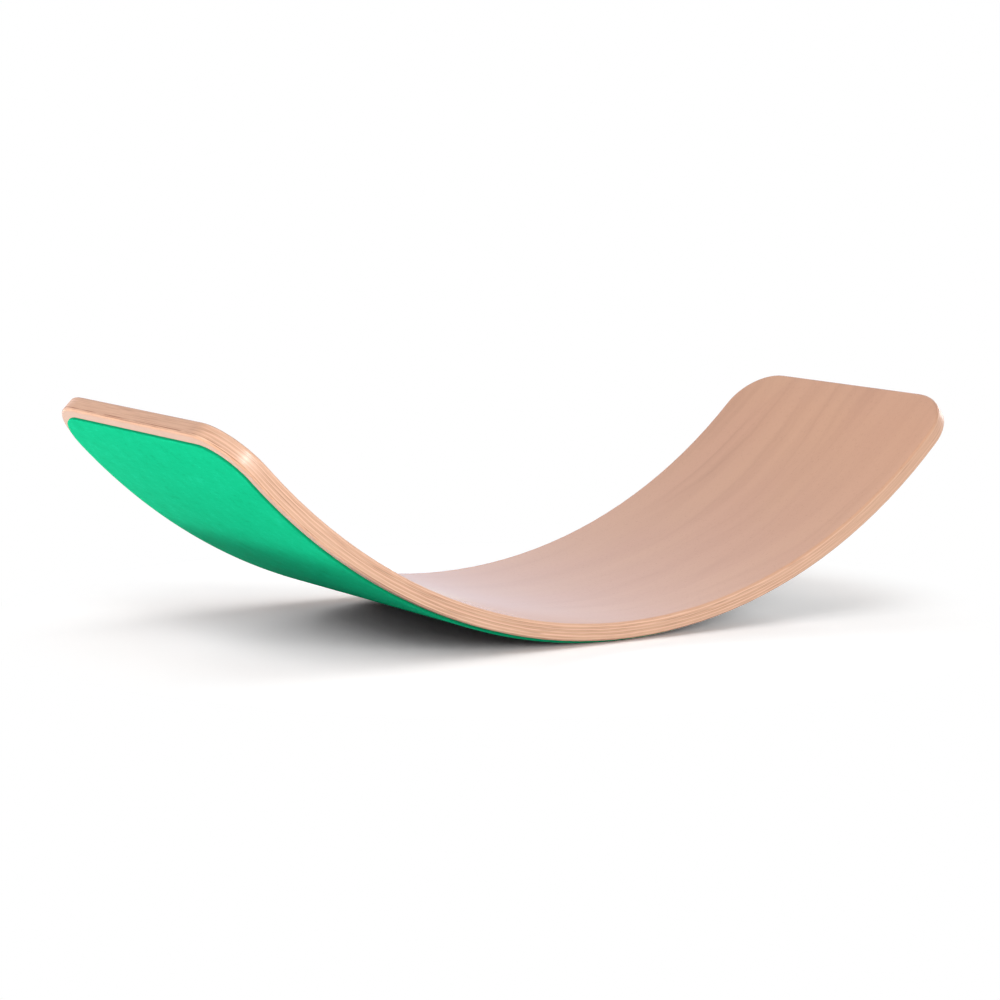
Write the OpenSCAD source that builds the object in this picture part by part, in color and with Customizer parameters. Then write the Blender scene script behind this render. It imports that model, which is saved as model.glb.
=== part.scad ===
// Curvy balance board: a plywood blank pressed into one long bend, with a felt sheet under it.
// Frame: X along the board, Y across it, Z up, origin on the floor under the middle.
// Depth is counted from the top face downwards, square to the bent sheet.

/* [Board] */
// Length of the blank before bending, along the middle ply
blank_length = 1000; // [800:10:1200]
// Width of the board
board_width = 300; // [240:5:400]
// Radius of the bend, at the top face
bend_radius = 577; // [450:1:800]
// Radius of the four plan corners
corner_radius = 50; // [25:1:90]
// Radius of the rounded-over rim, top and bottom
edge_radius = 3; // [1:0.1:5]

/* [Veneers] */
// Thickness of one veneer
veneer_thickness = 1.5; // [1:0.1:2.4]

/* [Felt] */
// Thickness of the felt sheet
felt_thickness = 3; // [1:0.5:6]
// Distance from the rim of the board to the cut edge of the felt
felt_inset = 10; // [4:1:18]
// Radius of the worn lower edge of the felt
felt_edge_radius = 0.8; // [0.2:0.1:0.9]

/* [Hidden] */
NODES = [
    "top_face_veneer",
    "cross_veneer_1",
    "long_veneer_1",
    "cross_veneer_2",
    "long_veneer_2",
    "cross_veneer_3",
    "long_veneer_3",
    "cross_veneer_4",
    "long_veneer_4",
    "cross_veneer_5",
    "bottom_face_veneer",
    "felt_pad"
];

// Sides of a full circle, for the plan corners, the small rims and the long bend
$fn = 96;
rim_sides = 24;
bend_sides = 360;

// Every node but the felt is a veneer
veneer_count = len(NODES) - 1;
board_thickness = veneer_count * veneer_thickness;

// Each end runs straight for the length of its plan corner, and the rest of the blank is bent
middle_radius = bend_radius + board_thickness / 2;
bent_half_length = blank_length / 2 - corner_radius;
half_angle = bent_half_length / middle_radius * 180 / PI;
// Angle by which each half of the bend is swept past the middle before it is cut there
overrun_angle = 2;

// Height of the bend's axis over the floor, with the felt touching the floor
axis_height = bend_radius + board_thickness + felt_thickness;

face_tone = "#D9B096";
cross_tone = "#EBC4A8";
long_tone = "#DDB094";
felt_tone = "#1CC88F";

// Sections are drawn below the bend's axis, with the width to the right and the depth downwards.

// Half of the board's section, from its middle out to a rounded rim
module board_half_section(reach) {
    rim_centre = reach - edge_radius;
    translate([0, -bend_radius - board_thickness])
        square([rim_centre, board_thickness]);
    translate([0, -bend_radius - board_thickness + edge_radius])
        square([reach, board_thickness - 2 * edge_radius]);
    for (depth = [edge_radius, board_thickness - edge_radius])
        translate([rim_centre, -bend_radius - depth])
            circle(r = edge_radius, $fn = rim_sides);
}

// The slice of that half section that one veneer takes up
module veneer_half_section(reach, level) {
    intersection() {
        board_half_section(reach);
        translate([0, -bend_radius - (level + 1) * veneer_thickness])
            square([reach, veneer_thickness]);
    }
}

// Half of the felt's section, square against the wood and worn round below
module felt_half_section(reach) {
    rim_centre = reach - felt_edge_radius;
    translate([0, -axis_height]) {
        square([rim_centre, felt_edge_radius]);
        translate([0, felt_edge_radius])
            square([reach, felt_thickness - felt_edge_radius]);
        translate([rim_centre, felt_edge_radius])
            circle(r = felt_edge_radius, $fn = rim_sides);
    }
}

// Lays a half section on both sides of the middle and sweeps it round the bend's axis,
// from where the straight end starts to past the middle
module round_the_bend() {
    rotate([-90, 90, 0])
        rotate_extrude(angle = half_angle + overrun_angle, $fn = bend_sides)
            for (side = [0, 1])
                mirror([0, side])
                    rotate(90)
                        children();
}

// Carries a half section along the straight end and round its two plan corners
module end_rim(side_reach, corner) {
    corner_centre = side_reach - corner;
    rotate([90, 0, 0])
        linear_extrude(height = 2 * corner_centre, center = true)
            children();
    for (side = [0, 1])
        mirror([0, side, 0])
            translate([0, corner_centre, 0])
                rotate_extrude(angle = 90)
                    children();
}

// Keeps what lies on the +X side of the bend's axis
module right_of_middle() {
    intersection() {
        children();
        translate([0, -board_width, -2 * axis_height])
            cube([blank_length, 2 * board_width, 4 * axis_height]);
    }
}

// Makes the board of two like halves, each built outwards from where its end runs straight
module both_halves() {
    translate([0, 0, axis_height])
        for (end = [0, 1])
            mirror([end, 0, 0])
                right_of_middle()
                    rotate([0, -half_angle, 0])
                        children();
}

// One bent veneer, counted down from the top face
module veneer(level) {
    side_reach = board_width / 2;
    both_halves() {
        round_the_bend()
            veneer_half_section(side_reach, level);
        end_rim(side_reach, corner_radius)
            veneer_half_section(corner_radius, level);
    }
}

module top_face_veneer() {
    color(face_tone) veneer(0);
}

module cross_veneer_1() {
    color(cross_tone) veneer(1);
}

module long_veneer_1() {
    color(long_tone) veneer(2);
}

module cross_veneer_2() {
    color(cross_tone) veneer(3);
}

module long_veneer_2() {
    color(long_tone) veneer(4);
}

module cross_veneer_3() {
    color(cross_tone) veneer(5);
}

module long_veneer_3() {
    color(long_tone) veneer(6);
}

module cross_veneer_4() {
    color(cross_tone) veneer(7);
}

module long_veneer_4() {
    color(long_tone) veneer(8);
}

module cross_veneer_5() {
    color(cross_tone) veneer(9);
}

module bottom_face_veneer() {
    color(face_tone) veneer(10);
}

module felt_pad() {
    side_reach = board_width / 2 - felt_inset;
    corner = corner_radius - felt_inset;
    color(felt_tone)
        both_halves() {
            round_the_bend()
                felt_half_section(side_reach);
            end_rim(side_reach, corner)
                felt_half_section(corner);
        }
}

top_face_veneer();
cross_veneer_1();
long_veneer_1();
cross_veneer_2();
long_veneer_2();
cross_veneer_3();
long_veneer_3();
cross_veneer_4();
long_veneer_4();
cross_veneer_5();
bottom_face_veneer();
felt_pad();
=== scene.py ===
"""A curvy balance board: eleven bent beech veneers over green felt, on a white studio floor."""

import logging
import math
from collections.abc import Mapping
from dataclasses import dataclass
from enum import Enum

import bpy
from mathutils import Matrix, Vector, noise


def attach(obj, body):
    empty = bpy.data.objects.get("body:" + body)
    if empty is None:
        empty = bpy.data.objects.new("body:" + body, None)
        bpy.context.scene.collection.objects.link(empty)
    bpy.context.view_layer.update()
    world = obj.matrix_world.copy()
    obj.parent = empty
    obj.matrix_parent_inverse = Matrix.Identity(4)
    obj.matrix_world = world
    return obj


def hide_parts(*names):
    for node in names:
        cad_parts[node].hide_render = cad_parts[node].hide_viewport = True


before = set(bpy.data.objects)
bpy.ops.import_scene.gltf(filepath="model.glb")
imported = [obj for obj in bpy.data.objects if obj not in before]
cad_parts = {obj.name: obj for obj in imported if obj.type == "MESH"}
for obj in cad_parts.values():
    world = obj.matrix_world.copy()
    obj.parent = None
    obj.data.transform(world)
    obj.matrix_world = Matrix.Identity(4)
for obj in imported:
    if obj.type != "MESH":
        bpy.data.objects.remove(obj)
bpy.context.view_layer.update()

LOG = logging.getLogger("balance_board")
BODY = "root"

Range = tuple[float, float]
Size = tuple[float, float]
Place = tuple[float, float, float]
Colour = tuple[float, float, float, float]

WHITE: Colour = (1.0, 1.0, 1.0, 1.0)


def screen_colour(red: int, green: int, blue: int) -> Colour:
    """Turns a colour as a screen shows it into the linear one that a shader mixes.

    Args:
        red: Red from 0 to 255.
        green: Green from 0 to 255.
        blue: Blue from 0 to 255.

    Returns:
        The linear colour, with full alpha.
    """
    # The numbers are those of the standard curve of screens.
    linear = [
        c / 12.92 if c <= 0.04045 else ((c + 0.055) / 1.055) ** 2.4
        for c in (red / 255, green / 255, blue / 255)
    ]
    return (linear[0], linear[1], linear[2], 1.0)


def grey(level: float) -> Colour:
    """Gives the neutral colour of one level, with full alpha."""
    return (level, level, level, 1.0)


class Wire:
    """A shader socket that can be written into sums, where each operator adds one Math node."""

    def __init__(self, shader: "Shader", socket: bpy.types.NodeSocket) -> None:
        """Keeps the socket and the shader that it belongs to."""
        self.shader = shader
        self.socket = socket

    def __add__(self, other: "Value") -> "Wire":
        """This value plus another."""
        return self.shader.math("ADD", self, other)

    def __radd__(self, other: "Value") -> "Wire":
        """Another value plus this one."""
        return self.shader.math("ADD", other, self)

    def __sub__(self, other: "Value") -> "Wire":
        """This value less another."""
        return self.shader.math("SUBTRACT", self, other)

    def __rsub__(self, other: "Value") -> "Wire":
        """Another value less this one."""
        return self.shader.math("SUBTRACT", other, self)

    def __mul__(self, other: "Value") -> "Wire":
        """This value times another."""
        return self.shader.math("MULTIPLY", self, other)

    def __rmul__(self, other: "Value") -> "Wire":
        """Another value times this one."""
        return self.shader.math("MULTIPLY", other, self)

    def __truediv__(self, other: "Value") -> "Wire":
        """This value over another."""
        return self.shader.math("DIVIDE", self, other)

    def __rtruediv__(self, other: "Value") -> "Wire":
        """Another value over this one."""
        return self.shader.math("DIVIDE", other, self)

    def __abs__(self) -> "Wire":
        """This value without its sign."""
        return self.shader.math("ABSOLUTE", self)


Value = Wire | float | Colour


class Shader:
    """A node tree that is filled in by expressions."""

    NOISE_MEAN = 0.5
    # A Mix node's colour sockets share their names with its other sockets, so they go by number.
    MIX_SHARE = 0
    MIX_FIRST = 6
    MIX_SECOND = 7
    MIX_RESULT = 2

    def __init__(self, tree: bpy.types.NodeTree) -> None:
        """Empties the tree."""
        self.tree = tree
        self.tree.nodes.clear()

    def node(
        self,
        kind: str,
        settings: Mapping[str, object] | None = None,
        inputs: Mapping[str | int, Value] | None = None,
    ) -> bpy.types.Node:
        """Adds one node.

        Args:
            kind: The node's type, without the words ShaderNode.
            settings: The node's own settings, which are made first.
            inputs: What its sockets take, by name or number: a wire is linked and a value is set.

        Returns:
            The new node.
        """
        made = self.tree.nodes.new("ShaderNode" + kind)
        for name, setting in (settings or {}).items():
            setattr(made, name, setting)
        for key, value in (inputs or {}).items():
            socket = made.inputs[key]
            if isinstance(value, Wire):
                self.tree.links.new(value.socket, socket)
            else:
                socket.default_value = value
        return made

    def wire(self, made: bpy.types.Node, output: str | int = 0) -> Wire:
        """Gives one of a node's outputs as a wire."""
        return Wire(self, made.outputs[output])

    def math(self, operation: str, *values: Value) -> Wire:
        """Adds a Math node on one or two values."""
        return self.wire(self.node("Math", {"operation": operation}, dict(enumerate(values))))

    def point(self, x: Value, y: Value, z: Value) -> Wire:
        """Joins three values into a vector."""
        return self.wire(self.node("CombineXYZ", None, {"X": x, "Y": y, "Z": z}))

    def split(self, vector: Wire) -> bpy.types.Node:
        """Adds the node that takes a vector apart into X, Y and Z."""
        return self.node("SeparateXYZ", None, {"Vector": vector})

    def clouds(self, place: Wire, detail: float) -> Wire:
        """Adds soft noise, mostly between -0.5 and 0.5, with lumps about one unit of the place across."""
        sockets = {"Vector": place, "Scale": 1.0, "Detail": detail}
        return self.wire(self.node("TexNoise", None, sockets), "Fac") - self.NOISE_MEAN

    def rise(self, value: Wire, low: float, high: float) -> Wire:
        """Gives 0 from low outwards, 1 from high outwards and a smooth change between them."""
        sockets = {"Value": value, "From Min": low, "From Max": high}
        return self.wire(self.node("MapRange", {"interpolation_type": "SMOOTHSTEP"}, sockets))

    def mix(self, share: Value, first: Value, second: Value) -> Wire:
        """Mixes two colours, where the share of the second one runs from 0 to 1."""
        sockets = {self.MIX_SHARE: share, self.MIX_FIRST: first, self.MIX_SECOND: second}
        return self.wire(self.node("Mix", {"data_type": "RGBA"}, sockets), self.MIX_RESULT)

    def seen(self) -> Wire:
        """Gives 1 to rays from the camera and from mirrors and glass, and 0 to other light.

        Returns:
            The share.
        """
        path = self.node("LightPath")
        straight = self.wire(path, "Is Camera Ray") + self.wire(path, "Is Glossy Ray")
        return self.math("MINIMUM", straight + self.wire(path, "Is Transmission Ray"), 1.0)

    def finish_surface(self, surface: bpy.types.Node) -> None:
        """Sends a shader node to the material's surface."""
        self.node("OutputMaterial", None, {"Surface": self.wire(surface)})


@dataclass(frozen=True)
class BentBoard:
    """The sizes of the pressed board in metres, as its solids have them."""

    blank_length: float = 1.0
    width: float = 0.3
    bend_radius: float = 0.577
    corner_radius: float = 0.05
    veneer_thickness: float = 0.0015
    veneer_count: int = 11
    felt_thickness: float = 0.003
    felt_inset: float = 0.01

    @property
    def thickness(self) -> float:
        """The wood's whole thickness."""
        return self.veneer_count * self.veneer_thickness

    @property
    def underside_depth(self) -> float:
        """A depth that only the wood's underside and the skin close to it reach."""
        return self.thickness - self.veneer_thickness / 4

    @property
    def middle_radius(self) -> float:
        """The bend's radius at the middle veneer."""
        return self.bend_radius + self.thickness / 2

    @property
    def half_angle(self) -> float:
        """The angle of the bend from the middle of the board to where an end runs straight."""
        return (self.blank_length / 2 - self.corner_radius) / self.middle_radius

    @property
    def axis_height(self) -> float:
        """The height of the bend's axis over the floor."""
        return self.bend_radius + self.thickness + self.felt_thickness


@dataclass(frozen=True)
class Lumps:
    """Noise on the unrolled board: the size of its lumps in metres and the number of finer layers."""

    along: float
    across: float
    deep: float
    detail: float = 2.0


class SheetShader(Shader):
    """A material that knows where its points lie on the unrolled board."""

    def __init__(self, name: str, board: BentBoard) -> None:
        """Makes the material and unrolls its Object coordinates.

        Args:
            name: The material's name.
            board: The board that the surface belongs to.
        """
        self.material = bpy.data.materials.new(name)
        self.material.use_nodes = True
        super().__init__(self.material.node_tree)
        self.board = board
        coordinates = self.node("TexCoord")
        place = self.split(self.wire(coordinates, "Object"))
        facing = self.split(self.wire(coordinates, "Normal"))
        self.facing_side = abs(self.wire(facing, "Y"))
        self.across = self.wire(place, "Y")
        self._unroll(self.wire(place, "X"), self.wire(place, "Z"), facing)

    def _unroll(self, x: Wire, z: Wire, facing: bpy.types.Node) -> None:
        """Works out the run along the board, the depth under its top face and how a face is turned.

        Args:
            x: The point's place along the board.
            z: The point's height.
            facing: The node that gives the surface's direction.
        """
        board, half = self.board, self.board.half_angle
        reach = abs(x)
        arm = board.axis_height - z
        turn = self.math("ARCTAN2", reach, arm)
        in_bend = self.math("LESS_THAN", turn, half)
        radius = self.math("SQRT", reach * reach + arm * arm)
        end_depth = reach * math.sin(half) + arm * math.cos(half)
        end_run = reach * math.cos(half) - arm * math.sin(half)
        self.depth = in_bend * radius + (1 - in_bend) * end_depth - board.bend_radius
        bent_run = turn * board.middle_radius
        straight_run = end_run + half * board.middle_radius
        self.along = self.math("SIGN", x) * (in_bend * bent_run + (1 - in_bend) * straight_run)
        outwards = x * self.wire(facing, "X") - arm * self.wire(facing, "Z")
        self.facing_out = abs(outwards / radius)

    def lumps(self, size: Lumps, shift: Value = 0.0) -> Wire:
        """Adds noise on the unrolled board.

        Args:
            size: The size and detail of the noise.
            shift: What is added to the place across the board, to make streaks waver.

        Returns:
            The noise, mostly between -0.5 and 0.5.
        """
        across = (self.across + shift) / size.across
        place = self.point(self.along / size.along, across, self.depth / size.deep)
        return self.clouds(place, size.detail)

    def patches(self, along: float, across: float, key: Wire, detail: float = 2.0) -> Wire:
        """Adds noise in patches of a length and width, which differ from one layer's key to the next."""
        return self.clouds(self.point(self.along / along, self.across / across, key), detail)


class Fibre(Enum):
    """The way that a veneer's fibres run."""

    ALONG = "along the board"
    ACROSS = "across the board"


@dataclass(frozen=True)
class FaceGrain:
    """The figure of a broad face. Sizes are in metres, and a range runs from none to full."""

    waver: Lumps = Lumps(0.2, 0.07, 0.01)
    waver_reach: float = 0.03
    bands: Lumps = Lumps(0.42, 0.03, 0.01, 1.5)
    band_shift: float = 0.68
    band_share: float = 1.2
    streaks: Lumps = Lumps(0.2, 0.008, 0.01)
    streak_share: float = 0.3
    growth: Lumps = Lumps(0.7, 0.09, 0.01, 1.0)
    ring_count: float = 8.0
    ring_fold: float = 0.5
    ring_range: Range = (0.34, 0.5)
    ring_share: float = 0.14
    figured: Lumps = Lumps(0.3, 0.1, 0.01, 1.0)
    figured_shift: float = 0.2
    figured_range: Range = (-0.15, 0.2)
    least_figure: float = 0.5
    middle_share: float = 0.55
    end_share: float = 0.5
    end_run: Range = (0.08, 0.3)
    mean_tone: float = 0.35
    tone_range: Range = (0.1, 1.4)
    fibres: Lumps = Lumps(0.03, 0.0008, 0.01)
    fibre_share: float = 0.3
    warmth: Lumps = Lumps(0.18, 0.07, 0.01, 1.0)
    warmth_range: Range = (-0.2, 0.2)
    flecks: Lumps = Lumps(0.0045, 0.0006, 0.01, 0.0)
    fleck_range: Range = (0.2, 0.27)
    fleck_share: float = 0.25
    fleck_depth: float = 0.5
    rim_run: Range = (0.3, 0.42)
    rim_share: float = 0.5
    # Painted shade: how far in from the felt's edge the hidden underside stops being painted nearly
    # black, in felt insets.
    shade_insets: float = 1.2

    def figure(self, shader: SheetShader) -> Wire:
        """Draws the wavering bands, streaks and growth rings, which are fuller towards the ends.

        Args:
            shader: The material's tree.

        Returns:
            How much deeper the wood's tone is.
        """
        waver = shader.lumps(self.waver) * self.waver_reach
        bands = shader.lumps(self.bands, waver + self.band_shift)
        streaks = shader.lumps(self.streaks, waver)
        growth = shader.lumps(self.growth, waver) * self.ring_count
        rings = shader.rise(shader.math("PINGPONG", growth, self.ring_fold), *self.ring_range)
        figured = shader.rise(shader.lumps(self.figured, self.figured_shift), *self.figured_range)
        fuller = self.middle_share + shader.rise(abs(shader.along), *self.end_run) * self.end_share
        lines = bands * self.band_share + streaks * self.streak_share + rings * self.ring_share
        return (self.least_figure + figured) * fuller * lines

    def shaded_under_felt(self, shader: SheetShader) -> Wire:
        """Finds the part of the underside, hidden under the felt, that is painted nearly black as shade.

        Args:
            shader: The material's tree.

        Returns:
            1 where the painted shade is, and 0 elsewhere.
        """
        board = shader.board
        half_width = board.width / 2 - self.shade_insets * board.felt_inset
        half_length = board.blank_length / 2 - board.corner_radius
        in_width = shader.math("LESS_THAN", abs(shader.across), half_width)
        in_length = shader.math("LESS_THAN", abs(shader.along), half_length)
        return in_width * in_length


@dataclass(frozen=True)
class EdgeGrain:
    """The plies of a cut edge. Sizes are in metres, and a range runs from none to full."""

    side_range: Range = (0.84, 0.97)
    end_fade: Range = (0.0, 0.35)
    ply_step: float = 5.3
    patch_size: float = 0.07
    patch_share: float = 1.2
    streaks: Lumps = Lumps(0.03, 0.03, 0.0003)
    streak_share: float = 1.6
    cut_streak_loss: float = 0.8
    pores: Lumps = Lumps(0.0007, 0.0007, 0.0004, 1.0)
    pore_share: float = 0.7
    mean_tone: float = 0.5
    strength_size: float = 0.11
    strength_step: float = 2.5
    strength_range: Range = (-0.3, 0.2)
    stain_size: float = 0.045
    stain_detail: float = 1.0
    stain_range: Range = (0.08, 0.26)
    stain_share: float = 0.4
    faint_run: Range = (0.12, 0.36)
    faint_share: float = 0.5
    # Painted shade: where along the board the long sides darken towards the +X end, and by how much.
    shade_run: Range = (0.2, 0.42)
    shade_share: float = 0.25


@dataclass(frozen=True)
class GlueLines:
    """The lines between the plies of a cut edge. Sizes are in metres, and levels in veneers."""

    half_width: float = 0.00013
    end_widening: float = 1.5
    joint_step: float = 3.7
    detail: float = 3.0
    break_length: float = 0.05
    break_range: Range = (-0.12, 0.2)
    inside_share: float = 0.49
    smooth_levels: Range = (5.5, 9.0)
    smooth_share: float = 0.6
    end_share: float = 0.3
    side_share: float = 0.42
    dash_length: float = 0.03
    dash_step: float = 1.5
    dash_range: Range = (-0.15, 0.1)
    dash_levels: Range = (8.4, 8.6)
    dash_share: float = 0.9

    def draw(self, shader: SheetShader, level: Wire, side: Wire, vivid: Wire) -> Wire:
        """Draws the broken lines, and the dashes low on the end faces.

        Args:
            shader: The material's tree.
            level: The depth in veneers.
            side: 1 on the long sides, and 0 on the end faces.
            vivid: How strongly the plies are marked.

        Returns:
            How much of a line shows.
        """
        board = shader.board
        nearest = shader.math("ROUND", level)
        from_joint = abs(level - nearest) * board.veneer_thickness
        reach = from_joint / (1 + self.end_widening * (1 - side))
        seam = 1 - shader.rise(reach, self.half_width, 2 * self.half_width)
        joint = nearest * self.joint_step
        breaks = shader.patches(self.break_length, self.break_length, joint, self.detail)
        inside = shader.math("LESS_THAN", abs(shader.depth / board.thickness - 0.5), self.inside_share)
        smoother = shader.rise(level, *self.smooth_levels) * side * self.smooth_share
        shown = inside * vivid * (1 - smoother) * (self.end_share + side * self.side_share)
        dashes = shader.patches(self.break_length, self.dash_length, joint + self.dash_step, self.detail)
        dashed = shader.rise(level, *self.dash_levels) * shader.rise(dashes, *self.dash_range)
        low_line = dashed * (1 - side) * self.dash_share
        return seam * (shader.rise(breaks, *self.break_range) * shown + low_line)


@dataclass(frozen=True)
class BeechFinish:
    """Lacquered beech veneer."""

    name: str
    fibre: Fibre
    has_face: bool
    edge_pale: Colour
    edge_deep: Colour
    edge_mean: Colour = screen_colour(222, 178, 149)
    end_pale: Colour = screen_colour(210, 167, 138)
    end_deep: Colour = screen_colour(194, 151, 123)
    face_pale: Colour = screen_colour(220, 170, 136)
    face_warm: Colour = screen_colour(218, 167, 135)
    face_deep: Colour = screen_colour(195, 145, 114)
    pore: Colour = screen_colour(158, 106, 78)
    seam: Colour = screen_colour(156, 106, 79)
    # Painted shade: the hidden underside under the felt is nearly black, so light bounced under the board
    # stays dark and the floor's shadow stays deep and neutral.
    underside_shade: Colour = screen_colour(20, 20, 20)
    face_grain: FaceGrain = FaceGrain()
    edge_grain: EdgeGrain = EdgeGrain()
    glue_lines: GlueLines = GlueLines()
    face_range: Range = (0.45, 0.75)
    bump_strength: float = 0.08
    bump_depth: float = 0.0002
    roughness: float = 0.5
    grain_gloss: float = 0.12
    gloss: float = 0.2
    face_lacquer: float = 1.0
    edge_lacquer: float = 0.45
    lacquer_roughness: float = 0.24

    def dress(self, board: BentBoard) -> bpy.types.Material:
        """Makes the material.

        Args:
            board: The board that the veneer belongs to.

        Returns:
            The finished material.
        """
        shader = SheetShader(self.name, board)
        edge, edge_height = self._edge(shader)
        colour, height, lacquer = edge, edge_height, self.edge_lacquer
        if self.has_face:
            face, face_height = self._face(shader)
            on_face = shader.rise(shader.facing_out, *self.face_range)
            colour = shader.mix(on_face, edge, face)
            height = edge_height * (1 - on_face) + face_height * on_face
            lacquer = self.edge_lacquer + on_face * (self.face_lacquer - self.edge_lacquer)
        bump = shader.node(
            "Bump",
            None,
            {"Strength": self.bump_strength, "Distance": self.bump_depth, "Height": height},
        )
        surface = shader.node(
            "BsdfPrincipled",
            None,
            {
                "Base Color": colour,
                "Roughness": self.roughness - height * self.grain_gloss,
                "Specular IOR Level": self.gloss,
                "Normal": shader.wire(bump),
                "Coat Weight": lacquer,
                "Coat Roughness": self.lacquer_roughness,
            },
        )
        shader.finish_surface(surface)
        return shader.material

    def _face(self, shader: SheetShader) -> tuple[Wire, Wire]:
        """Draws the broad face: its figure, fine fibres and the short dark flecks of beech, with painted
        shade on the hidden underside under the felt.

        Args:
            shader: The material's tree.

        Returns:
            The colour and the height of the grain.
        """
        grain = self.face_grain
        fibres = shader.lumps(grain.fibres)
        flecks = shader.rise(shader.lumps(grain.flecks), *grain.fleck_range)
        warm = shader.rise(shader.lumps(grain.warmth), *grain.warmth_range)
        tone = grain.mean_tone + grain.figure(shader) + fibres * grain.fibre_share
        ground = shader.mix(warm, self.face_pale, self.face_warm)
        wood = shader.mix(shader.rise(tone, *grain.tone_range), ground, self.face_deep)
        flecked = shader.mix(flecks * grain.fleck_share, wood, self.pore)
        beneath = shader.math("GREATER_THAN", shader.depth, shader.board.underside_depth)
        # Towards the ends, the underside takes a deeper tone.
        at_ends = shader.rise(abs(shader.along), *grain.rim_run)
        colour = shader.mix(beneath * at_ends * grain.rim_share, flecked, self.face_deep)
        # Painted shade: the underside under the felt is painted nearly black, which darkens the bounced
        # light in the floor's shadow.
        shaded_underside = beneath * grain.shaded_under_felt(shader)
        return shader.mix(shaded_underside, colour, self.underside_shade), fibres - flecks * grain.fleck_depth

    def _edge(self, shader: SheetShader) -> tuple[Wire, Wire]:
        """Draws the cut edge: streaks where the fibres run with it, pores where they are cut across.

        Args:
            shader: The material's tree.

        Returns:
            The colour and the height of the grain.
        """
        grain = self.edge_grain
        side = shader.rise(shader.facing_side, *grain.side_range)
        cut_across = side if self.fibre is Fibre.ACROSS else 1 - side
        level = shader.depth / shader.board.veneer_thickness
        ply = shader.math("FLOOR", level) * grain.ply_step
        vivid = 1 - shader.rise(shader.along, *grain.faint_run) * grain.faint_share
        patches = shader.patches(grain.patch_size, grain.patch_size, ply) * grain.patch_share
        streaks = shader.lumps(grain.streaks)
        pores = shader.lumps(grain.pores)
        streaked = streaks * (grain.streak_share - cut_across * grain.cut_streak_loss)
        tone = grain.mean_tone + patches + streaked + pores * cut_across * grain.pore_share
        shade = shader.rise(tone, 0.0, 1.0)
        end = shader.mix(shade, self.end_pale, self.end_deep)
        long_side = self._long_side(shader, ply, shade, vivid)
        wood = shader.mix(shader.rise(shader.facing_side, *grain.end_fade), end, long_side)
        stains = shader.patches(grain.stain_size, grain.stain_size, ply + level, grain.stain_detail)
        stain = shader.rise(stains, *grain.stain_range) * vivid * grain.stain_share
        stained = shader.mix(stain, wood, self.seam)
        line = self.glue_lines.draw(shader, level, side, vivid)
        return shader.mix(line, stained, self.seam), streaks + pores - line

    def _long_side(self, shader: SheetShader, ply: Wire, shade: Wire, vivid: Wire) -> Wire:
        """Draws the plies of a long side, where they show as pale and deep bands, with painted shade that
        deepens the side towards the +X end.

        Args:
            shader: The material's tree.
            ply: The key of the ply.
            shade: How deep the ply's own tone is.
            vivid: How strongly the plies are marked.

        Returns:
            The colour.
        """
        grain = self.edge_grain
        own = shader.mix(shade, self.edge_pale, self.edge_deep)
        strength = shader.patches(grain.strength_size, grain.strength_size, ply + grain.strength_step)
        banded = shader.mix(shader.rise(strength, *grain.strength_range) * vivid, self.edge_mean, own)
        # Painted shade: the long side takes the end's deeper tone towards the +X end.
        right_end_shade = shader.rise(shader.along, *grain.shade_run) * grain.shade_share
        return shader.mix(right_end_shade, banded, self.end_deep)


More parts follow.
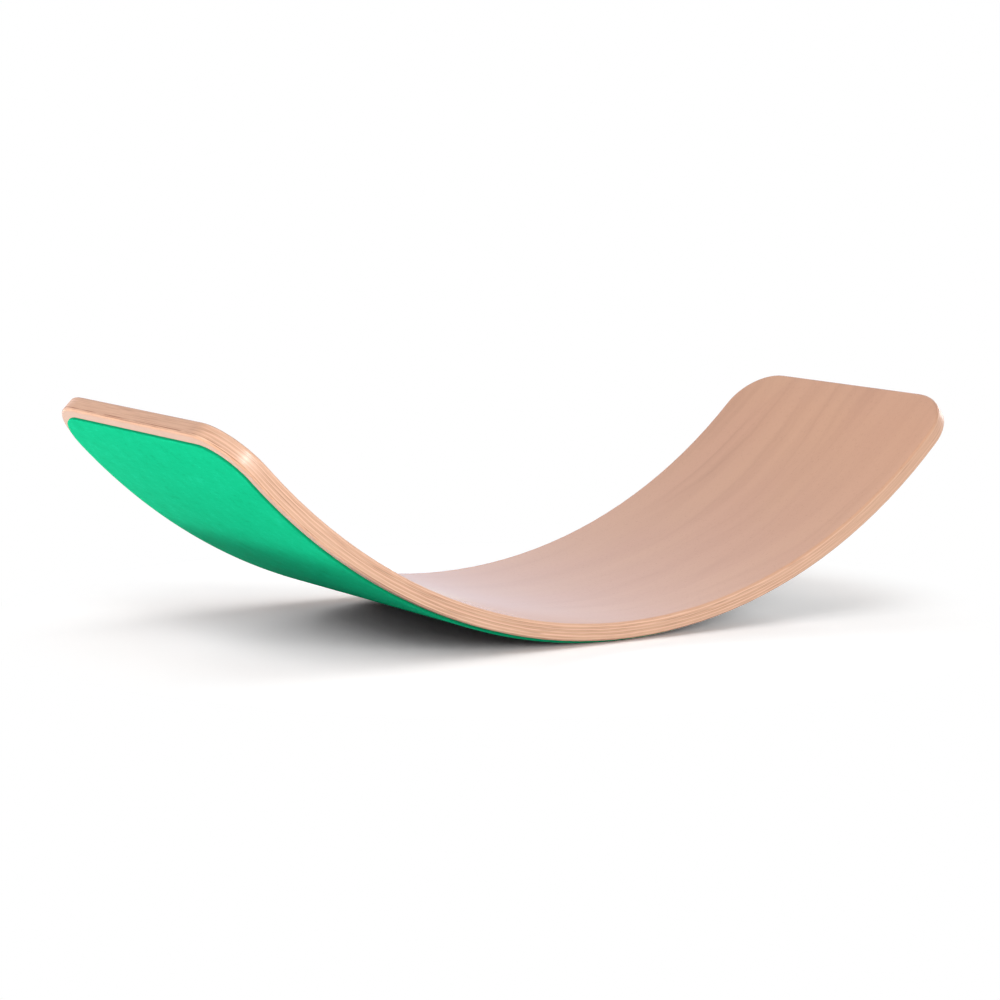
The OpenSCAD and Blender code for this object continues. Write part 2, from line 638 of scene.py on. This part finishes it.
@dataclass(frozen=True)
class FeltFinish:
    """Dense green wool felt. Sizes are in metres, and a range runs from none to full."""

    name: str = "green_felt"
    ground: Colour = screen_colour(16, 184, 130)
    pale: Colour = screen_colour(32, 202, 150)
    deep: Colour = screen_colour(6, 160, 109)
    cut: Colour = screen_colour(16, 184, 128)
    # Painted shade: the felt's cut edge at the ends, darker as in the seam against the wood.
    shaded_end_cut: Colour = screen_colour(11, 150, 104)
    speck: Colour = screen_colour(8, 124, 84)
    mottle: Lumps = Lumps(0.012, 0.012, 0.012, 3.0)
    mottle_share: float = 1.2
    nap: Lumps = Lumps(0.0022, 0.0022, 0.0022, 3.0)
    hairs: Lumps = Lumps(0.007, 0.0013, 0.002)
    hair_waver: float = 0.012
    hair_share: float = 0.2
    cross_hairs: Lumps = Lumps(0.0012, 0.011, 0.002)
    cross_waver: float = 0.006
    cross_share: float = 0.7
    tuft_range: Range = (0.0, 0.8)
    specks: Lumps = Lumps(0.0016, 0.0016, 0.0016, 0.0)
    speck_range: Range = (0.3, 0.36)
    speck_share: float = 0.8
    cut_range: Range = (0.8, 0.2)
    bump_strength: float = 0.5
    bump_depth: float = 0.0005
    roughness: float = 0.95
    gloss: float = 0.03
    sheen: float = 0.03
    sheen_roughness: float = 0.5

    def dress(self, board: BentBoard) -> bpy.types.Material:
        """Makes the material.

        Args:
            board: The board that the felt is glued under.

        Returns:
            The finished material.
        """
        shader = SheetShader(self.name, board)
        tufts = self._tufts(shader)
        bump = shader.node(
            "Bump",
            None,
            {"Strength": self.bump_strength, "Distance": self.bump_depth, "Height": tufts},
        )
        surface = shader.node(
            "BsdfPrincipled",
            None,
            {
                "Base Color": self._colour(shader, tufts),
                "Roughness": self.roughness,
                "Specular IOR Level": self.gloss,
                "Normal": shader.wire(bump),
                "Sheen Weight": self.sheen,
                "Sheen Roughness": self.sheen_roughness,
                "Sheen Tint": self.pale,
            },
        )
        shader.finish_surface(surface)
        return shader.material

    def _tufts(self, shader: SheetShader) -> Wire:
        """Lays the nap, the hairs both ways and the mottling over each other.

        Args:
            shader: The material's tree.

        Returns:
            The height of the wool, about zero.
        """
        mottle = shader.lumps(self.mottle)
        nap = shader.lumps(self.nap)
        hairs = shader.lumps(self.hairs, mottle * self.hair_waver)
        cross_hairs = shader.lumps(self.cross_hairs, mottle * self.cross_waver)
        fluff = nap + hairs * self.hair_share + cross_hairs * self.cross_share
        return fluff + mottle * self.mottle_share

    def _colour(self, shader: SheetShader, tufts: Wire) -> Wire:
        """Colours the wool by its height, with dark specks and a plainer cut edge, which is painted
        darker as shade at the ends.

        Args:
            shader: The material's tree.
            tufts: The height of the wool.

        Returns:
            The colour.
        """
        lighter = shader.rise(tufts, *self.tuft_range)
        darker = shader.rise(0 - tufts, *self.tuft_range)
        fluff = shader.mix(darker, shader.mix(lighter, self.ground, self.pale), self.deep)
        specks = shader.rise(shader.lumps(self.specks), *self.speck_range)
        wool = shader.mix(specks * self.speck_share, fluff, self.speck)
        # The cut edge is painted darker where it faces along the board, as shade at the ends.
        cut = shader.mix(shader.facing_side, self.shaded_end_cut, self.cut)
        return shader.mix(shader.rise(shader.facing_out, *self.cut_range), wool, cut)


@dataclass
class Veneers:
    """The eleven veneers that are pressed and glued into the bent board."""

    board: BentBoard
    face: BeechFinish = BeechFinish(
        name="beech_face",
        fibre=Fibre.ALONG,
        has_face=True,
        edge_pale=screen_colour(226, 182, 153),
        edge_deep=screen_colour(209, 160, 131),
        lacquer_roughness=0.14,
    )
    cross: BeechFinish = BeechFinish(
        name="beech_cross",
        fibre=Fibre.ACROSS,
        has_face=False,
        edge_pale=screen_colour(242, 199, 170),
        edge_deep=screen_colour(229, 184, 155),
    )
    long: BeechFinish = BeechFinish(
        name="beech_long",
        fibre=Fibre.ALONG,
        has_face=False,
        edge_pale=screen_colour(224, 177, 147),
        edge_deep=screen_colour(206, 156, 127),
    )

    def dress(self) -> dict[str, bpy.types.Material]:
        """Gives each veneer the finish of its kind.

        Returns:
            The veneers' names, with the material of each.
        """
        kinds = {"face": self.face, "cross": self.cross, "long": self.long}
        materials = {kind: finish.dress(self.board) for kind, finish in kinds.items()}
        dressed: dict[str, bpy.types.Material] = {}
        for name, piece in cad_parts.items():
            kind = next((word for word in name.split("_") if word in kinds), None)
            if kind:
                piece.material_slots[0].material = materials[kind]
                dressed[name] = materials[kind]
        return dressed


@dataclass
class FeltSheet:
    """The felt under the board: a rounded oblong that is cut flat, bent to the wood and glued there."""

    board: BentBoard
    finish: FeltFinish = FeltFinish()
    corner_steps: int = 14
    rim_radius: float = 0.0008
    rim_steps: int = 3
    sharp_angle: float = math.radians(60)
    smooth_angle: float = math.radians(50)
    strip: float = 0.006
    weld: float = 0.000008
    cut_waver: float = 0.0003
    waver_length: float = 0.02

    @property
    def radius(self) -> float:
        """The bend's radius at the middle of the felt."""
        return self.board.axis_height - self.board.felt_thickness / 2

    @property
    def corner(self) -> float:
        """The radius of the felt's corners."""
        return self.board.corner_radius - self.board.felt_inset

    @property
    def flat_size(self) -> Size:
        """The width and length that the felt is cut to."""
        length = 2 * (self.radius * self.board.half_angle + self.corner)
        return self.board.width - 2 * self.board.felt_inset, length

    @property
    def flat_area(self) -> float:
        """The area of the cut felt, less its rounded corners."""
        width, length = self.flat_size
        return width * length - (4 - math.pi) * self.corner**2

    def build(self) -> bpy.types.Object:
        """Cuts, rounds, bends and dresses the felt.

        Returns:
            The felt, in place under the board.
        """
        felt = self._cut_flat()
        self._slice_for_bending(felt)
        self._bend(felt)
        felt.data.materials.append(self.finish.dress(self.board))
        # The felt takes no part in bounced or mirrored light, so the floor's shadow stays neutral.
        felt.visible_diffuse = False
        felt.visible_glossy = False
        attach(felt, BODY)
        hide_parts("felt_pad")
        self.flat_area
        return felt

    def _cut_flat(self) -> bpy.types.Object:
        """Cuts the rounded oblong and rounds its rim, lying flat along X.

        Returns:
            The flat felt, with its middle at the origin.
        """
        width, length = self.flat_size
        bpy.ops.object.select_all(action="DESELECT")
        bpy.ops.mesh.primitive_plane_add(size=1)
        felt = bpy.context.object
        felt.name = felt.data.name = "felt_sheet"
        bpy.ops.object.mode_set(mode="EDIT")
        bpy.ops.transform.resize(value=(length, width, 1))
        bpy.ops.mesh.bevel(affect="VERTICES", offset=self.corner, segments=self.corner_steps)
        bpy.ops.transform.translate(value=(0, 0, -self.board.felt_thickness / 2))
        bpy.ops.mesh.extrude_region_move(
            TRANSFORM_OT_translate={"value": (0, 0, self.board.felt_thickness)}
        )
        bpy.ops.mesh.select_all(action="SELECT")
        bpy.ops.mesh.normals_make_consistent(inside=False)
        bpy.ops.mesh.select_all(action="DESELECT")
        bpy.ops.mesh.edges_select_sharp(sharpness=self.sharp_angle)
        bpy.ops.mesh.bevel(affect="EDGES", offset=self.rim_radius, segments=self.rim_steps)
        bpy.ops.object.mode_set(mode="OBJECT")
        return felt

    def _slice_for_bending(self, felt: bpy.types.Object) -> None:
        """Cuts the flat felt into narrow strips, so that it can follow the bend.

        Args:
            felt: The flat felt.
        """
        length = self.flat_size[1]
        strips = math.ceil(length / self.strip)
        bpy.context.view_layer.objects.active = felt
        bpy.ops.object.mode_set(mode="EDIT")
        for cut in range(1, strips):
            bpy.ops.mesh.select_all(action="SELECT")
            place = -length / 2 + length * cut / strips
            bpy.ops.mesh.bisect(plane_co=(place, 0, 0), plane_no=(1, 0, 0))
        bpy.ops.mesh.select_all(action="SELECT")
        bpy.ops.mesh.remove_doubles(threshold=self.weld)
        bpy.ops.object.mode_set(mode="OBJECT")
        bpy.ops.object.shade_smooth_by_angle(angle=self.smooth_angle)

    def _bend(self, felt: bpy.types.Object) -> None:
        """Takes each point of the flat felt to its place under the board, with a wavering cut.

        Args:
            felt: The flat felt, which is bent.
        """
        rim_start = self.flat_size[0] / 2 - self.corner
        for vertex in felt.data.vertices:
            run, across, lift = vertex.co
            if abs(across) > rim_start:
                waver = noise.noise(Vector((run / self.waver_length, math.copysign(1, across), 0)))
                across += math.copysign(waver * self.cut_waver, across)
            angle = min(abs(run) / self.radius, self.board.half_angle)
            past_bend = max(abs(run) - self.radius * self.board.half_angle, 0)
            arm = self.radius - lift
            x = arm * math.sin(angle) + past_bend * math.cos(angle)
            z = self.board.axis_height - arm * math.cos(angle) + past_bend * math.sin(angle)
            vertex.co = (math.copysign(x, run), across, z)
        felt.data.update()


@dataclass(frozen=True)
class SoftBox:
    """A flat lamp that points at the board.

    It lights everything, or only the pieces whose names have one of its words. A lamp for glints adds
    gloss alone, and the other lamps add none.
    """

    name: str
    place: Place
    width: float
    height: float
    watts: float
    aim: Place = (0.0, 0.0, 0.05)
    spread: float = math.pi
    lit_words: tuple[str, ...] = ()
    only_glints: bool = False

    def build(self) -> None:
        """Hangs the lamp, out of the camera's sight."""
        lamp = bpy.data.lights.new(self.name, "AREA")
        lamp.shape = "RECTANGLE"
        lamp.size = self.width
        lamp.size_y = self.height
        lamp.energy = self.watts
        lamp.spread = self.spread
        hung = bpy.data.objects.new(self.name, lamp)
        bpy.context.scene.collection.objects.link(hung)
        beam = Vector(self.aim) - Vector(self.place)
        hung.location = self.place
        hung.rotation_euler = beam.to_track_quat("-Z", "Y").to_euler()
        hung.visible_camera = False
        hung.visible_glossy = self.only_glints
        hung.visible_diffuse = not self.only_glints
        if self.lit_words:
            hung.light_linking.receiver_collection = self._lit_pieces()

    def _lit_pieces(self) -> bpy.types.Collection:
        """Gathers the pieces whose names have one of the lamp's words.

        Returns:
            The pieces that the lamp lights.
        """
        lit = bpy.data.collections.new(self.name)
        for name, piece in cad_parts.items():
            if any(word in name.split("_") for word in self.lit_words):
                lit.objects.link(piece)
        return lit


@dataclass(frozen=True)
class PhotoCamera:
    """The camera, at the photograph's viewing angle."""

    azimuth: float = math.radians(38.82)
    elevation: float = math.radians(7.89)
    roll: float = math.radians(2.45)
    distance: float = 2.4646
    aim_aside: float = -0.0281
    aim_height: float = 0.1125
    sensor: float = 36.0
    focal_share: float = 2.54104

    def build(self) -> None:
        """Sets the camera up as the scene's own."""
        level = math.cos(self.elevation)
        forward = Vector(
            (math.sin(self.azimuth) * level, math.cos(self.azimuth) * level, -math.sin(self.elevation))
        )
        aside = Vector((math.cos(self.azimuth), -math.sin(self.azimuth), 0))
        place = aside * self.aim_aside + Vector((0, 0, self.aim_height)) - forward * self.distance
        turn = Matrix((aside, aside.cross(forward), -forward)).transposed().to_4x4()
        lens = bpy.data.cameras.new("photo_camera")
        lens.sensor_width = self.sensor
        lens.lens = self.focal_share * self.sensor
        camera = bpy.data.objects.new("photo_camera", lens)
        bpy.context.scene.collection.objects.link(camera)
        camera.matrix_world = Matrix.Translation(place) @ turn @ Matrix.Rotation(self.roll, 4, "Z")
        bpy.context.scene.camera = camera


@dataclass
class Studio:
    """A white floor that takes the board's shadow, soft white surroundings and soft lamps."""

    floor_size: float = 40.0
    shadow_size: Size = (0.55, 0.42)
    shadow_fade: Range = (0.7, 1.0)
    floor_bounce: float = 0.68
    floor_white: float = 1.2
    low_sky: float = 0.09
    high_sky: float = 0.1
    mirrored: Colour = (0.87, 0.85, 0.96, 1.0)
    lamps: tuple[SoftBox, ...] = (
        SoftBox("front_lamp", place=(-0.15, -1.15, 0.44), width=0.6, height=0.45, watts=6.8),
        SoftBox(
            "corner_lamp",
            place=(-0.25, -1.27, 0.95),
            aim=(-0.43, -0.14, 0.19),
            width=0.5,
            height=0.5,
            watts=31.0,
            lit_words=("long", "2", "3", "4"),
            only_glints=True,
        ),
        SoftBox(
            "edge_lamp",
            place=(0.13, -0.45, 0.1),
            aim=(0.13, -0.15, 0.03),
            width=0.12,
            height=0.12,
            watts=0.09,
            lit_words=("face", "cross", "long"),
        ),
        SoftBox("left_lamp", place=(-1.6, -0.5, 1.5), width=1.5, height=1.1, watts=20.9),
        SoftBox("right_lamp", place=(1.95, 0.0, 0.95), width=1.2, height=1.0, watts=24.7),
        SoftBox("rear_lamp", place=(0.2, 1.7, 0.8), width=0.8, height=0.6, watts=8.0),
        SoftBox("rear_left_lamp", place=(-1.3, 1.3, 0.8), width=1.0, height=0.6, watts=9.5),
        SoftBox(
            "right_corner_lamp",
            place=(1.6, 0.45, 0.42),
            aim=(0.44, -0.14, 0.2),
            width=0.7,
            height=0.3,
            watts=2.4,
            lit_words=("cross", "long"),
            only_glints=True,
        ),
        SoftBox(
            "low_panel",
            place=(-0.533, 0.0, 0.0883),
            aim=(-0.092, 0.0, 0.3228),
            width=0.5,
            height=0.2,
            watts=0.155,
            spread=math.radians(20),
        ),
    )

    def build(self) -> None:
        """Sets up the floor, the surroundings and the lamps."""
        self._floor()
        self._surroundings()
        for lamp in self.lamps:
            lamp.build()
        bpy.context.scene.view_settings.view_transform = "Standard"

    def _floor(self) -> None:
        """Lays the floor: it takes shadows near the board and is plain white further off."""
        bpy.ops.object.select_all(action="DESELECT")
        bpy.ops.mesh.primitive_plane_add(size=self.floor_size)
        floor = bpy.context.object
        floor.name = "studio_floor"
        material = bpy.data.materials.new("white_floor")
        material.use_nodes = True
        shader = Shader(material.node_tree)
        place = shader.split(shader.wire(shader.node("TexCoord"), "Object"))
        x = shader.wire(place, "X") / self.shadow_size[0]
        y = shader.wire(place, "Y") / self.shadow_size[1]
        from_board = shader.math("SQRT", x * x + y * y)
        white = shader.mix(shader.seen(), grey(self.floor_bounce), grey(self.floor_white))
        near = shader.node("BsdfDiffuse", None, {"Color": white})
        far = shader.node("Emission", None, {"Color": WHITE, "Strength": 1.0})
        surface = shader.node(
            "MixShader",
            None,
            {
                0: shader.rise(from_board, *self.shadow_fade),
                1: shader.wire(near),
                2: shader.wire(far),
            },
        )
        shader.finish_surface(surface)
        floor.data.materials.append(material)

    def _surroundings(self) -> None:
        """Makes the world white to the eye, and dimmer as a source of light."""
        world = bpy.data.worlds.new("white_surroundings")
        world.use_nodes = True
        bpy.context.scene.world = world
        shader = Shader(world.node_tree)
        seen = shader.seen()
        direction = shader.split(shader.wire(shader.node("TexCoord"), "Generated"))
        height = shader.rise(shader.wire(direction, "Z"), 0.0, 1.0)
        strength = seen + (1 - seen) * (self.low_sky + height * (self.high_sky - self.low_sky))
        in_lacquer = shader.wire(shader.node("LightPath"), "Is Glossy Ray")
        colour = shader.mix(in_lacquer, WHITE, self.mirrored)
        sky = shader.node("Background", None, {"Color": colour, "Strength": strength})
        shader.node("OutputWorld", None, {"Surface": shader.wire(sky)})


def main() -> None:
    """Dresses the board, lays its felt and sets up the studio."""
    logging.basicConfig(level=logging.INFO, format="%(name)s: %(message)s")
    board = BentBoard()
    PhotoCamera().build()
    for name, material in Veneers(board).dress().items():
        LOG.info("%s: %s", name, material.name)
    felt = FeltSheet(board).build()
    LOG.info("%s: %d faces", felt.name, len(felt.data.polygons))
    Studio().build()


if __name__ == "__main__":
    main()
